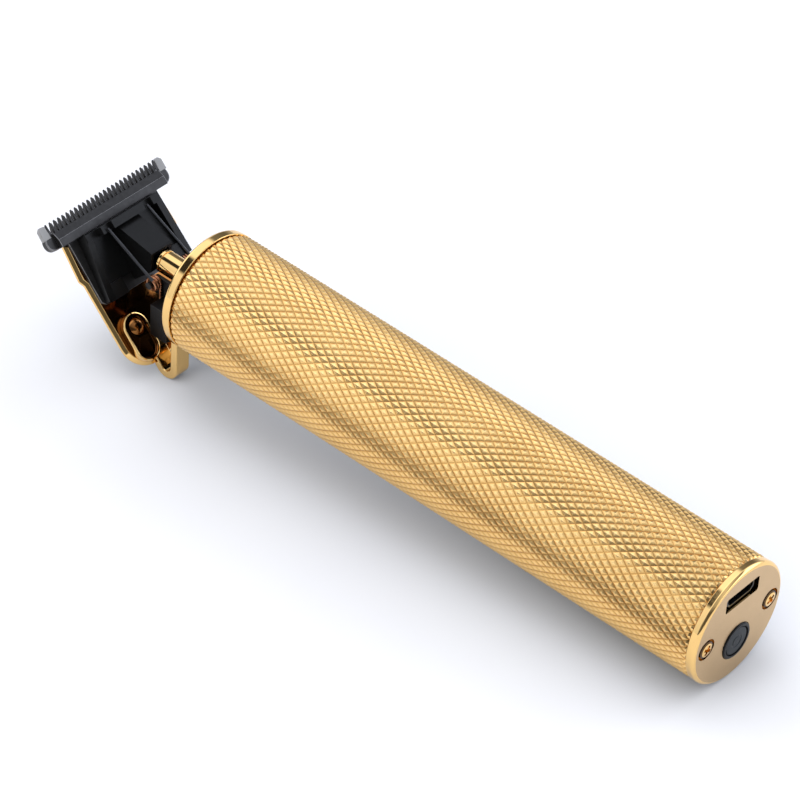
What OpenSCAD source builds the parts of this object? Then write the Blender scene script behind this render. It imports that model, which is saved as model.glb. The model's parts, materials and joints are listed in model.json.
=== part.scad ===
// T-blade hair clipper with a knurled metal body, lying on its two hooks and its rear rim.
// Every sub-part is drawn in body axes: X runs along the body from the rear face to the
// blade, Z is up and Y is across. The module rest() then lays the object on the plane Z = 0.

/* [Body] */
// Outside diameter of the knurled body
body_d = 25; // [25:0.5:27]
// Length of the body from the rear face to the front rim
body_len = 129.8; // [126:0.1:140]
// Width of the polished band around the rear cap
rear_band = 1.8; // [1.5:0.1:2.4]
// Width of the polished ring at the front
front_band = 2.2; // [1.8:0.1:2.6]
// Width of the shadow gap on each side of the knurled sleeve
shadow_gap = 0.2; // [0.1:0.05:0.3]

/* [Rear cap] */
// Distance of each cap screw from the body's axis
cap_screw_y = 9; // [8.6:0.1:9.4]
// Diameter of the power button
button_d = 7.5; // [7:0.1:7.8]
// Distance of the button's centre below the axis
button_drop = 4; // [3.8:0.1:4.6]
// Travel of the power button
button_travel = 0.6; // [0.3:0.1:0.7]
// Distance of the charging socket's centre above the axis
usb_rise = 7.1; // [6.8:0.1:7.2]
// Width of the charging socket's opening in the cap
usb_slot_w = 9.2; // [8:0.1:9.4]
// Height of the charging socket's opening in the cap
usb_slot_h = 3.4; // [2.8:0.1:3.4]

/* [Blade] */
// Angle between the blade and the body's axis
blade_angle = 46; // [45:0.5:47]
// Distance of the tooth tips in front of the front rim
tip_reach = 29; // [28.8:0.1:30]
// Height of the tooth tips above the body's axis
tip_rise = 6.8; // [6.6:0.1:7]
// Distance from tooth to tooth
tooth_pitch = 1.12; // [1.08:0.01:1.14]
// Number of teeth from the middle tooth of the fixed blade to its last slim tooth
side_teeth = 13; // [10:1:13]
// Half of the moving blade's stroke
half_stroke = 0.6; // [0.3:0.1:0.6]

/* [Hidden] */
$fn = 64;
eps = 0.01;
far = 60;

gold = [0.83, 0.62, 0.30];
satin_gold = [0.80, 0.68, 0.48];
black = [0.08, 0.08, 0.085];
blade_black = [0.16, 0.16, 0.17];
steel = [0.62, 0.62, 0.63];
copper = [0.72, 0.42, 0.30];
rubber = [0.05, 0.05, 0.05];
nylon = [0.85, 0.84, 0.80];
board_green = [0.05, 0.32, 0.16];
cell_blue = [0.10, 0.30, 0.62];

// Shells around the axis, from the outside in
body_r = body_d / 2;
sleeve_in = body_r - 0.9;
spigot_r = sleeve_in - 0.05;
chassis_r = sleeve_in - 0.2;
chassis_in = chassis_r - 1;
plug_r = spigot_r - 1.1;
edge = 0.8;
spigot_len = 3.6;
front = body_len;
frame_x0 = rear_band + spigot_len + 0.3;
frame_x1 = frame_x0 + 5.4;
chassis_x0 = frame_x1 + 0.2;
chassis_x1 = front - front_band - spigot_len - 0.4;

// Rear cap, button and board
cap_wall = 2.2;
button_r = button_d / 2;
button_fit = 0.1;
button_proud = 0.3;
stem_end = 5.4;
board_x = 7.8;
board_t = 1;
usb_x0 = 0.5;
usb_wall = 0.3;
screw_sink_r = 2.2;
screw_sink = 1.3;
screw_proud = 0.3;
screw_head_r = 1.75;
screw_crown_r = 1.3;
screw_shank_r = 0.9;
recess_half = 0.3;
recess_reach = 1;
recess_floor = 0.3;

// Battery and motor
cell_r = 9.15;
cell_x0 = 13.4;
cell_len = 65;
joint_x = cell_x0 + cell_len + 3.2;
joint_y = 8;
can_r = 10.2;
can_flat = 15.1;
can_wall = 0.8;
can_x1 = front - 13;
can_x0 = can_x1 - 26.5;
cap_len = 5;
shaft_r = 1;
run_fit = 0.04;
mount_t = 3;
hub_r = 2.4;
hub_end = 11.4;
lead_r = 0.45;
lead_y = 0.8;
lead_z = chassis_in - lead_r - 0.15;

// Crank pin and fork
pin_r = 0.7;
crank = half_stroke;
pin_end = 15.4;
hub_gap = 0.6;
slot_half = pin_r + crank + half_stroke + 0.15;
fork_wall = 0.75;
fork_top = [-14.9, 8.3];

// Head, in blade axes: x towards the tooth tips, y across, z from the skin to the body.
// The fixed blade's cutting face is at z = 0 and its tooth tips are at x = 0.
plate_low = -1.9;
plate_top = -0.7;
bar_back = -5.4;
bar_front = -1.9;
bar_low = -1.6;
bar_half = 16.5;
tip_t = 0.35;
tail_half = 12;
tail_end = -19.3;
plate_end = -34;
slide_gap = 0.03;
moving_half = 14.3;
moving_end = -12;
carriage_front = -5.55;
carriage_end = -19.4;
groove_y = 5.3;
seat_z = 3.85;

// Hooks: pads in blade axes, bend and leg in body axes ahead of the front rim
pad_y = 8.1;
pad_r = 2.95;
pad_x0 = -33.2;
pad_x1 = -23;
pad_floor = 0.6;
pad_rim = 1.3;
rim_wall = 0.6;
strap_y0 = 3.5;
strap_y1 = 7.1;
strap_t = 1.7;
bend_r = 3;
bend_x = 3.7;
bend_z = tip_rise + (plate_low + bend_r + (bend_x - tip_reach) * sin(blade_angle)) / cos(blade_angle);
bend_s = (bend_x - tip_reach) * cos(blade_angle) + (bend_z - tip_rise) * sin(blade_angle);
bend_h = plate_low + bend_r;
bend_mid = [bend_s, bend_h];
tongue_end = -29;
strap_mid = (strap_y0 + strap_y1) / 2;
leg_face = bend_x - bend_r + strap_t;
foot_z = -6.3;
foot_top = -4.2;
dome_x = -25.9;
dome_y = 7.6;
blade_screw_x = -12.5;
blade_screw_y = 9;

// Torsion springs, ahead of the front rim
wire_r = 0.3;
coil_x = 9.6;
coil_z = -2;
coil_r = 1.3;
coil_y0 = 3.9;
coil_turns = 2;
stud_r = 0.75;
cheek_y0 = 2.8;
cheek_y1 = 3.55;
arm_angle = 25.8;
arm_len = 13.6;
short_arm = 4.2;
nose_t = 2.6;
nose_r = 7;
flange_t = 0.5;
flange_r = 10.9;
holder_end = coil_x - coil_r - wire_r;
holder_x = 3.7;

// Resting pose: the plane touches the rear rim and the round of both hooks
rim_x = edge;
bend_gap = norm([front + bend_x - rim_x, bend_z + body_r]);
tilt = asin(bend_r / bend_gap) - atan2(bend_z + body_r, front + bend_x - rim_x);
rest_z = body_r * cos(tilt) - rim_x * sin(tilt);
rear_reach = -(body_r - edge) * sin(tilt);
tip_x = front + tip_reach + tip_t * sin(blade_angle);
tip_z = tip_rise - tip_t * cos(blade_angle);
front_reach = tip_x * cos(tilt) - tip_z * sin(tilt);
mid_x = (rear_reach + front_reach) / 2;

module rest() translate([-mid_x, 0, rest_z]) rotate([0, -tilt, 0]) children();

// Moves from body axes to the front rim and to the blade's own axes
module ahead(x = 0) translate([front + x, 0, 0]) children();
module blade_axes() ahead(tip_reach) translate([0, 0, tip_rise]) rotate([0, -blade_angle, 0]) children();

// Cylinder along X from x0 to x1
module rod(x0, x1, r, r2 = -1) translate([x0, 0, 0]) rotate([0, 90, 0])
    cylinder(h = x1 - x0, r1 = r, r2 = r2 < 0 ? r : r2);
// Solid of revolution around X, from points [x, radius]
module turned(points) rotate([0, 90, 0]) rotate_extrude() polygon([for (p = points) [p[1], p[0]]]);
module tube(x0, x1, r_out, r_in) turned([[x0, r_in], [x1, r_in], [x1, r_out], [x0, r_out]]);
// Box from one corner to the opposite one
module block(a, b) translate(a) cube(b - a);
// Box that spans -half to half across
module slab(x0, x1, half, z0, z1) block([x0, -half, z0], [x1, half, z1]);
// Cylinder along Y from y0 to y1, centred at (x, z)
module pin_across(x, z, r, y0, y1) translate([x, y1, z]) rotate([90, 0, 0]) cylinder(h = y1 - y0, r = r);
module both_sides() for (side = [0, 1]) mirror([0, side, 0]) children();
// Plan outline, given on one side of the middle line, thickened from z0 to z1
module mirrored_plan(points, z0, z1) translate([0, 0, z0]) linear_extrude(z1 - z0)
    polygon(concat(points, [for (i = [len(points) - 1:-1:0]) [points[i][0], -points[i][1]]]));
function arc(cx, cy, r, a0, a1, n) =
    [for (i = [0:n]) let (a = a0 + (a1 - a0) * i / n) [cx + r * cos(a), cy + r * sin(a)]];

module knurled_sleeve() color(gold)
    tube(rear_band + shadow_gap, front - front_band - shadow_gap, body_r, sleeve_in);

module front_ring() color(gold) turned([
    [front - front_band - spigot_len, plug_r], [front, plug_r], [front, body_r - edge],
    [front - edge, body_r], [front - front_band, body_r], [front - front_band, spigot_r],
    [front - front_band - spigot_len, spigot_r]]);

module rear_cap() color(satin_gold) difference() {
    turned([[0, 0], [cap_wall, 0], [cap_wall, plug_r], [rear_band + spigot_len, plug_r],
        [rear_band + spigot_len, spigot_r], [rear_band, spigot_r], [rear_band, body_r],
        [edge, body_r], [0, body_r - edge]]);
    both_sides() translate([0, cap_screw_y, 0]) {
        rod(-1, screw_sink, screw_sink_r);
        rod(-1, cap_wall + 1, 1.05);
    }
    translate([0, 0, -button_drop]) rod(-1, cap_wall + 1, button_r + button_fit);
    slab(-1, cap_wall + 1, usb_slot_w / 2, usb_rise - usb_slot_h / 2, usb_rise + usb_slot_h / 2);
}

// Domed screws with a cross recess, their heads a little proud of the cap and clear of the sinks' walls
module rear_cap_screws() color(gold) both_sides() translate([0, cap_screw_y, 0]) rotate([30, 0, 0])
    difference() {
        union() {
            turned([[-screw_proud, 0], [-screw_proud, screw_crown_r], [0, screw_head_r],
                [screw_sink, screw_head_r], [screw_sink, 0]]);
            rod(screw_sink - eps, frame_x1 - 1, screw_shank_r);
        }
        block([-1, -recess_half, -recess_reach], [recess_floor, recess_half, recess_reach]);
        block([-1, -recess_reach, -recess_half], [recess_floor, recess_reach, recess_half]);
    }

module rear_gasket() color(rubber) tube(rear_band + spigot_len, frame_x0, chassis_r - 0.1, plug_r + 0.1);

module power_button() color([0.14, 0.15, 0.17]) translate([0, 0, -button_drop]) difference() {
    turned([[-button_proud, 0], [-button_proud, button_r - 0.4], [0.1, button_r], [cap_wall + 0.1, button_r],
        [cap_wall + 0.1, button_r + 0.7], [cap_wall + 0.8, button_r + 0.7], [cap_wall + 0.8, 1.2],
        [stem_end, 1.2], [stem_end, 0]]);
    tube(-1, 0, 2.6, 2.3);
}

module switch_plunger() color(nylon) translate([0, 0, -button_drop]) rod(stem_end, 6.9, 0.9);

module button_switch() color(steel) difference() {
    translate([0, 0, -button_drop]) slab(6.3, board_x, 3, -3, 3);
    translate([0, 0, -button_drop]) rod(6, 6.9 + button_travel + 0.1, 1);
}

// Micro-USB shell: a box with its two lower corners cut off, wall usb_wall thick
module usb_outline(inset) {
    w = 3.8 - inset;
    h = 1.25 - inset;
    chamfer = 0.8 - 0.2 * inset;
    polygon([[-w, h], [w, h], [w, chamfer - h], [w - chamfer, -h], [chamfer - w, -h], [-w, chamfer - h]]);
}

module usb_shell() color(steel) translate([usb_x0, 0, usb_rise]) rotate([90, 0, 90])
    linear_extrude(board_x - usb_x0) difference() {
        usb_outline(0);
        usb_outline(usb_wall);
    }

module usb_tongue() color(black) union() {
    slab(1.6, board_x, 2.3, usb_rise + 0.05, usb_rise + 0.6);
    slab(6.8, board_x, 2.8, usb_rise - 0.9, usb_rise + 0.9);
}

module circuit_board() color(board_green) difference() {
    rod(board_x, board_x + board_t, chassis_in - 0.6);
    both_sides() translate([0, cap_screw_y, 0]) rod(board_x - 1, board_x + 2, 2.1);
}

module board_chips() color(black) union() {
    slab(board_x + board_t, board_x + board_t + 1.2, 2.5, -2.5, 2.5);
    for (z = [-6.5, 4.5])
        slab(board_x + board_t, board_x + board_t + 1, 1.6, z, z + 2);
}

module rear_frame() color(black) difference() {
    union() {
        tube(frame_x0, frame_x1, chassis_r, chassis_in);
        both_sides() translate([0, cap_screw_y, 0]) intersection() {
            rod(frame_x0, frame_x1, 1.9);
            translate([0, -cap_screw_y, 0]) rod(frame_x0, frame_x1, chassis_r);
        }
    }
    both_sides() translate([0, cap_screw_y, 0]) rod(frame_x0 - 1, frame_x1 + 1, 0.9);
}

// Upper half of the inner chassis; the lower half is its mirror image
module half_chassis() {
    ribs = [cell_x0 + 4, cell_x0 + cell_len / 2, cell_x0 + cell_len - 5];
    difference() {
        union() {
            tube(chassis_x0, chassis_x1, chassis_r, chassis_in);
            for (x = ribs) tube(x, x + 1.2, chassis_in + eps, cell_r + 0.1);
            both_sides() translate([joint_x, joint_y, 0]) intersection() {
                cylinder(h = 6, r = 1.7);
                translate([-joint_x, -joint_y, 0]) rod(chassis_x0, chassis_x1, chassis_r);
            }
        }
        slab(0, front, body_r, -body_r, 0.03);
        slab(cell_x0, can_x0, 2.6, chassis_in - 2.5, chassis_in);
        both_sides() translate([joint_x, joint_y, -1]) cylinder(h = 5, r = 0.7);
    }
}

module chassis_upper() color(black) half_chassis();
module chassis_lower() color(black) mirror([0, 0, 1]) difference() {
    half_chassis();
    both_sides() translate([joint_x, joint_y, 2.4]) {
        cylinder(h = 10, r = 1.3);
        translate([0, 0, -3]) cylinder(h = 4, r = 0.7);
    }
}

module chassis_screws() color(steel) both_sides() translate([joint_x, joint_y, 0]) {
    translate([0, 0, -2.4]) cylinder(h = 6, r = 0.7);
    translate([0, 0, -3.2]) cylinder(h = 0.8, r = 1.2);
}

module battery_cell() color(cell_blue) turned([
    [cell_x0, 0], [cell_x0, cell_r - 0.5], [cell_x0 + 0.5, cell_r],
    [cell_x0 + cell_len - 1.5, cell_r], [cell_x0 + cell_len - 1, cell_r - 0.6],
    [cell_x0 + cell_len - 1, 3], [cell_x0 + cell_len, 3], [cell_x0 + cell_len, 0]]);

module battery_tabs() color(steel) {
    slab(cell_x0 - 0.25, cell_x0, 2.5, -3, 8.6);
    slab(cell_x0 + cell_len, cell_x0 + cell_len + 0.25, 2.5, -2.5, 8.6);
}

module battery_cushions() color(rubber) difference() {
    union() {
        tube(cell_x0 - 1, cell_x0, cell_r - 0.6, cell_r - 3);
        tube(cell_x0 + cell_len - 1, cell_x0 + cell_len + 1, cell_r - 0.6, cell_r - 3);
    }
    slab(0, front, 2.6, 0, cell_r);
}

// One motor lead: a straight run above the cell, then down to the motor's terminal
module lead(side) {
    x1 = can_x0 - cap_len - 1;
    translate([0, side * lead_y, lead_z]) rod(board_x + board_t, x1, lead_r);
    translate([x1, side * lead_y, lead_z]) sphere(r = lead_r);
    translate([x1, side * lead_y, 3.3]) cylinder(h = lead_z - 3.3, r = lead_r);
}

module lead_red() color([0.75, 0.08, 0.06]) lead(1);
module lead_black() color(black) lead(-1);

// Round can with two flats, turned so that the flats face up and down
module can_shape(x0, x1, inset) intersection() {
    rod(x0, x1, can_r - inset);
    slab(x0, x1, can_r, -can_flat / 2 + inset, can_flat / 2 - inset);
}

module motor_can() color(steel) difference() {
    union() {
        can_shape(can_x0, can_x1, 0);
        rod(can_x1, can_x1 + 1.5, 3);
    }
    can_shape(can_x0 - 1, can_x1 - can_wall, can_wall);
    rod(can_x1 - 2, can_x1 + 3, 2.2);
    both_sides() translate([0, 5.5, 0]) rod(can_x1 - 2, can_x1 + 1, 0.9);
}

module motor_magnets() color([0.2, 0.2, 0.22]) both_sides() intersection() {
    tube(can_x0 + 3, can_x1 - 4, can_r - can_wall, 7.2);
    block([can_x0, 0, -5], [can_x1, can_r, 5]);
}

module motor_bushes() color([0.72, 0.58, 0.35]) {
    tube(can_x1 - can_wall, can_x1 + 1.5, 2.2, shaft_r + run_fit);
    tube(can_x0 - cap_len, can_x0 - cap_len + 1.5, 2.2, shaft_r + run_fit);
}

module motor_end_cap() color(black) difference() {
    can_shape(can_x0 - cap_len, can_x0, 0);
    can_shape(can_x0 - cap_len + 1.5, can_x0 + 1, 1);
    rod(can_x0 - cap_len - 1, can_x0, 2.2);
    both_sides() block([can_x0 - cap_len - 1, lead_y - 0.5, 2.7], [can_x0 - cap_len + 2, lead_y + 0.5, 3.3]);
}

module motor_brushes() color([0.3, 0.3, 0.32]) both_sides() {
    block([can_x0 - 2.6, 2.6, -0.9], [can_x0 - 1.2, 4.6, 0.9]);
    block([can_x0 - cap_len + 1.5, 4.2, -0.9], [can_x0 - 2.5, 4.6, 0.9]);
}

module motor_terminals() color(copper) both_sides()
    block([can_x0 - cap_len - 2, lead_y - 0.5, 2.7], [can_x0 - cap_len + 2, lead_y + 0.5, 3.3]);

module motor_shaft() color(steel) rod(can_x0 - cap_len - 0.3, front + 6.5, shaft_r);

module motor_armature() color(copper) difference() {
    rod(can_x0 + 4, can_x1 - 5, 6.4);
    rod(can_x0 + 3, can_x1 - 4, shaft_r);
    for (a = [0, 120, 240]) rotate([a, 0, 0])
        slab(can_x0 + 3, can_x1 - 4, 0.8, 2.4, 7);
}

module commutator() color(copper) tube(can_x0 - 3, can_x0 + 3.5, 2.45, shaft_r);

module drive_hub() color(gold) {
    difference() {
        turned([[front - 1, 0], [front - 1, hub_r], [front + hub_end - 0.4, hub_r],
            [front + hub_end, hub_r - 0.4], [front + hub_end, 0]]);
        rod(front - 2, front + 6.5, shaft_r);
    }
    translate([0, 0, crank]) rod(front + hub_end - eps, front + pin_end, pin_r);
}

module motor_mount() color(black) difference() {
    union() {
        rod(can_x1, can_x1 + mount_t, chassis_in - 0.05);
        both_sides() translate([0, strap_mid, foot_z])
            rod(can_x1 + mount_t - eps, front - front_band - spigot_len, 1.9);
    }
    rod(can_x1 - 1, can_x1 + 1.5, 3.05);
    rod(can_x1, can_x1 + mount_t + 1, 1.6);
    both_sides() {
        translate([0, 5.5, 0]) rod(can_x1 - 1, can_x1 + mount_t + 1, 0.9);
        translate([0, strap_mid, foot_z])
            rod(can_x1 + mount_t - 1, front, 0.9);
    }
}

module motor_screws() color(steel) both_sides() translate([0, 5.5, 0]) {
    rod(can_x1 - 1.5, can_x1 + mount_t + eps, 0.9);
    rod(can_x1 + mount_t, can_x1 + mount_t + 1, 1.6);
}

module nose_cap() color(black) difference() {
    turned([[front - front_band - spigot_len, 0], [front - front_band - spigot_len, plug_r - 0.05],
        [front, plug_r - 0.05], [front, flange_r], [front + flange_t, flange_r - 0.3],
        [front + flange_t, nose_r], [front + nose_t - 0.6, nose_r], [front + nose_t, nose_r - 0.6],
        [front + nose_t, 0]]);
    rod(front - 8, front + 4, hub_r + 0.5);
    rod(front - 8, front - 1.2, 4.2);
    both_sides() {
        block([front + 0.7, strap_y0 - 0.1, -body_r], [front + 4, strap_y1 + 0.1, foot_top + 0.1]);
        translate([0, strap_mid, foot_z]) rod(front - 8, front + 4, 1);
    }
}

module shaft_seal() color(rubber) tube(front - 3.2, front - 1.2, 4.2, shaft_r + run_fit);
module nose_seal() color(rubber)
    tube(chassis_x1, front - front_band - spigot_len, chassis_r - 0.1, plug_r + 0.1);

// Black block that carries the springs below the drive hub
module spring_holder() color(black) difference() {
    ahead() union() {
        slab(nose_t, holder_x, 3.2, -11, -4.4);
        slab(flange_t, holder_x, 3.2, -11, -nose_r - 0.2);
        slab(holder_x, holder_end, 7, -12.4, -5);
        both_sides() {
            block([holder_x, cheek_y0, -5.2], [coil_x, cheek_y1, coil_z + 1.1]);
            block([coil_x - 1.1, cheek_y0, -5.2], [coil_x + 1.1, cheek_y1, coil_z]);
            pin_across(coil_x, coil_z, 1.1, cheek_y0, cheek_y1);
        }
    }
    ahead() both_sides() pin_across(coil_x, coil_z, stud_r, 2, 5);
}

module spring_studs() color(steel) ahead() both_sides()
    pin_across(coil_x, coil_z, stud_r, cheek_y0, 6);

// Wire along a list of points, eight-sided, with flat ends; tangents lie in XZ or along a shallow helix
function unit(v) = v / norm(v);
function tangent(p, i) = unit(p[min(i + 1, len(p) - 1)] - p[max(i - 1, 0)]);
module wire(p, r, sides = 8) {
    rings = [for (i = [0:len(p) - 1]) let (t = tangent(p, i), n = unit(cross(t, [0, 1, 0])), b = cross(n, t))
        for (k = [0:sides - 1]) p[i] + r * (cos(360 * k / sides) * n + sin(360 * k / sides) * b)];
    last = len(p) - 1;
    polyhedron(rings, concat(
        [[for (k = [0:sides - 1]) k]],
        [for (i = [0:last - 1]) for (k = [0:sides - 1]) let (m = (k + 1) % sides)
            [i * sides + k, (i + 1) * sides + k, (i + 1) * sides + m, i * sides + m]],
        [[for (k = [sides - 1:-1:0]) last * sides + k]]));
}

// One torsion spring: a short arm down, the coil around its stud, a long arm to the carriage
module torsion_spring() color(copper) ahead() {
    a0 = 180 + 360 * coil_turns;
    a1 = 90 + arm_angle;
    steps = 44;
    coil_y1 = groove_y;
    coil = [for (i = [0:steps]) let (a = a0 + (a1 - a0) * i / steps)
        [coil_x + coil_r * cos(a), coil_y0 + (coil_y1 - coil_y0) * i / steps, coil_z + coil_r * sin(a)]];
    wire(concat([coil[0] - [0, 0, short_arm]], coil,
        [coil[steps] + arm_len * [cos(arm_angle), 0, sin(arm_angle)]]), wire_r);
}

module torsion_spring_left() torsion_spring();
module torsion_spring_right() mirror([0, 1, 0]) torsion_spring();

// Outline of the blade plate on one side, in blade axes
function plate_outline() = concat(
    [[bar_back, 0], [bar_back, 12.7], [-13, 13.3], [-14.2, 12.7]],
    arc(-28.3, 6.7, 5.8, 90, 170, 8), [[plate_end, 7.3], [plate_end, 0]]);

module blade_plate() color(gold) blade_axes() difference() {
    mirrored_plan(plate_outline(), plate_low, plate_top);
    both_sides() {
        translate([dome_x, dome_y, plate_low - 1]) cylinder(h = 3, r = 0.85);
        translate([blade_screw_x, blade_screw_y, plate_low - 1]) cylinder(h = 3, r = 1.05);
        translate([blade_screw_x, blade_screw_y, plate_low - eps]) cylinder(h = 0.7, r1 = 2, r2 = 1.05);
    }
}

// Rounded pad that lies on the blade plate, smaller by inset all round
module pad_shape(inset, z0, z1) {
    r = pad_r - inset;
    translate([0, 0, z0]) linear_extrude(z1 - z0) polygon(concat(
        arc(pad_x1 - pad_r, pad_y, r, -90, 90, 20), arc(pad_x0 + pad_r, pad_y, r, 90, 270, 20)));
}

// Side profile of a hook's strap, in blade axes: tongue over the plate, bend below the body, leg up
function strap_profile() = let (inner = bend_r - strap_t, leg = 180 - blade_angle,
        along = [sin(blade_angle), cos(blade_angle)]) concat(
    [[tongue_end, plate_low + strap_t], [tongue_end, plate_top],
        [plate_end, plate_top], [plate_end, plate_low]],
    arc(bend_s, bend_h, bend_r, 270, leg, 16),
    [bend_mid + bend_r * [cos(leg), sin(leg)] + (foot_top - bend_z) * along],
    [bend_mid + inner * [cos(leg), sin(leg)] + (foot_top - bend_z) * along],
    arc(bend_s, bend_h, inner, leg, 270, 16));

// One hook: cupped pad on the blade plate, tongue, bend under the body, leg up into the nose cap
module hook() color(gold) difference() {
    blade_axes() {
        pad_shape(0, plate_top, plate_top + pad_rim);
        translate([0, strap_y1, 0]) rotate([90, 0, 0]) linear_extrude(strap_y1 - strap_y0)
            polygon(strap_profile());
    }
    blade_axes() {
        pad_shape(rim_wall, plate_top + pad_floor, plate_top + pad_rim + 1);
        translate([dome_x, dome_y, plate_top - 1]) cylinder(h = 3, r = 0.85);
    }
    ahead() translate([0, strap_mid, foot_z]) rod(-2, 8, 1);
}

module hook_left() hook();
module hook_right() mirror([0, 1, 0]) hook();

module hook_screws() color(gold) both_sides() ahead() translate([0, strap_mid, foot_z]) {
    rod(-8.4, leg_face + eps, 0.9);
    rod(leg_face, leg_face + 0.9, 1.6);
}

module pad_screws() color(gold) blade_axes() both_sides() translate([dome_x, dome_y, 0]) {
    translate([0, 0, plate_low + 0.1]) cylinder(h = pad_floor + plate_top - plate_low - 0.1 + eps, r = 0.8);
    translate([0, 0, plate_top + pad_floor]) rotate_extrude()
        polygon(concat([[0, 0]], arc(0, -1.45, 2.25, 40.5, 90, 8)));
}

module blade_screws() color(steel) blade_axes() both_sides() translate([blade_screw_x, blade_screw_y, 0]) {
    translate([0, 0, plate_low]) cylinder(h = 0.65, r1 = 1.9, r2 = 0.95);
    translate([0, 0, plate_low + 0.6]) cylinder(h = -plate_low - 0.65, r = 0.9);
}

// Row of teeth, each a taper from the root to the tip, for teeth -n to n
module tooth_row(n, root, tip, z0, z1) for (i = [-n:n]) translate([0, i * tooth_pitch, z0])
    linear_extrude(z1 - z0) polygon([[root, -0.36], [tip - 0.15, -0.14], [tip, -0.06], [tip, 0.06],
        [tip - 0.15, 0.14], [root, 0.36]]);

module fixed_blade() color(blade_black) blade_axes() difference() {
    end_y = (side_teeth + 1) * tooth_pitch;
    union() {
        mirrored_plan(concat([[bar_back, 0]], arc(bar_back + 1.6, bar_half - 1.6, 1.6, 180, 90, 6),
            arc(bar_front - 1.6, bar_half - 1.6, 1.6, 90, 0, 6), [[bar_front, 0]]), bar_low, 0);
        mirrored_plan([[tail_end, 0], [tail_end, tail_half - 0.8], [tail_end + 0.8, tail_half],
            [bar_back + 1, tail_half], [bar_back + 1, 0]], plate_top, 0);
        tooth_row(side_teeth, bar_front - 0.3, 0, -1, 0);
        both_sides() translate([0, 0, -1]) linear_extrude(1) polygon([[bar_front - 0.5, end_y - 0.5],
            [-0.4, end_y - 0.4], [0, end_y - 0.1], [0, end_y + 0.3], [-0.5, end_y + 0.9],
            [bar_front - 0.5, end_y + 0.95]]);
    }
    // teeth thin towards their tips on the skin side
    rotate([90, 0, 0]) translate([0, 0, -far / 2]) linear_extrude(far)
        polygon([[bar_front - 0.4, bar_low - 1], [bar_front - 0.4, -1.3], [0, -tip_t], [1, -tip_t],
            [1, bar_low - 1]]);
    both_sides() translate([blade_screw_x, blade_screw_y, plate_top - 1]) cylinder(h = 3, r = 0.9);
}

module moving_blade() color(blade_black) blade_axes() difference() {
    union() {
        // bar with a bevelled front edge
        rotate([90, 0, 0]) translate([0, 0, -moving_half]) linear_extrude(2 * moving_half)
            polygon([[bar_back, slide_gap], [-2.2, slide_gap], [-2.2, 0.5], [-3.7, 1.25], [bar_back, 1.25]]);
        tooth_row(side_teeth - 1, -2.4, -0.25, slide_gap, 0.45);
        slab(moving_end, bar_back + eps, 8.5, slide_gap, 0.6);
    }
    both_sides() translate([-9.5, 6.5, -1]) cylinder(h = 3, r = 0.8);
}

// Side profile of the carriage's middle: up to the fork's round top and down behind it
function fork_profile() = let (slope = -blade_angle) concat(
    [[-18, 0.1], [carriage_front - 1, 0.1], [carriage_front - 1, 3.4]],
    arc(fork_top[0], fork_top[1], 1, slope + 90, 90, 4), [[-18, fork_top[1] + 1]]);

module blade_carriage() color(black) difference() {
    union() {
        blade_axes() {
            // base and rear blocks
            mirrored_plan([[-16.4, 0], [-16.4, 5.6], [-17.5, 6], [carriage_end, 6], [carriage_end, 10.8],
                [carriage_end + 0.4, 11.2], [carriage_front, 9.9], [carriage_front, 0]], 0.1, 0.75);
            both_sides() block([carriage_end, 6, 0.1], [-16.2, 10.3, 1.3]);
            // side ribs, lower towards the rear
            both_sides() translate([carriage_front, 9.9, 0]) rotate([90, 0, -5.9]) linear_extrude(1.5)
                polygon([[0, 0.1], [0, 3], [-13.5, 1.6], [-13.5, 0.1]]);
            // front wall with the two spring seats
            slab(carriage_front - 1.6, carriage_front, 9.9, 0.1, 3);
            slab(carriage_front - 1.6, carriage_front, 7.1, 0.1, 5);
            // fork
            rotate([90, 0, 0]) translate([0, 0, -slot_half - fork_wall])
                linear_extrude(2 * (slot_half + fork_wall)) polygon(fork_profile());
            both_sides() translate([-9.5, 6.5, slide_gap]) cylinder(h = 0.5, r = 0.75);
        }
    }
    // room for the moving blade
    blade_axes() difference() {
        slab(moving_end - 0.1, 0, 8.6, -1, 0.65);
        both_sides() translate([-9.5, 6.5, slide_gap]) cylinder(h = 2, r = 0.75);
    }
    // spring seats
    blade_axes() both_sides() translate([0, groove_y, 0])
        slab(carriage_front - 3, carriage_front + 1, wire_r + half_stroke + 0.2, seat_z, 9);
    // slot for the crank pin, and room for the hub
    ahead() slab(hub_end - 3, pin_end + 0.8, slot_half, -crank - pin_r - 0.5, crank + pin_r + 0.6);
    ahead() slab(-far, hub_end + hub_gap, 4.5, -8, far);
}

rest() knurled_sleeve();
rest() front_ring();
rest() rear_cap();
rest() rear_cap_screws();
rest() rear_gasket();
rest() power_button();
rest() switch_plunger();
rest() button_switch();
rest() usb_shell();
rest() usb_tongue();
rest() circuit_board();
rest() board_chips();
rest() rear_frame();
rest() chassis_upper();
rest() chassis_lower();
rest() chassis_screws();
rest() battery_cell();
rest() battery_tabs();
rest() battery_cushions();
rest() lead_red();
rest() lead_black();
rest() motor_can();
rest() motor_magnets();
rest() motor_bushes();
rest() motor_end_cap();
rest() motor_brushes();
rest() motor_terminals();
rest() motor_shaft();
rest() motor_armature();
rest() commutator();
rest() drive_hub();
rest() motor_mount();
rest() motor_screws();
rest() nose_cap();
rest() shaft_seal();
rest() nose_seal();
rest() spring_holder();
rest() spring_studs();
rest() torsion_spring_left();
rest() torsion_spring_right();
rest() blade_plate();
rest() hook_left();
rest() hook_right();
rest() hook_screws();
rest() pad_screws();
rest() blade_screws();
rest() fixed_blade();
rest() moving_blade();
rest() blade_carriage();
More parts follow.
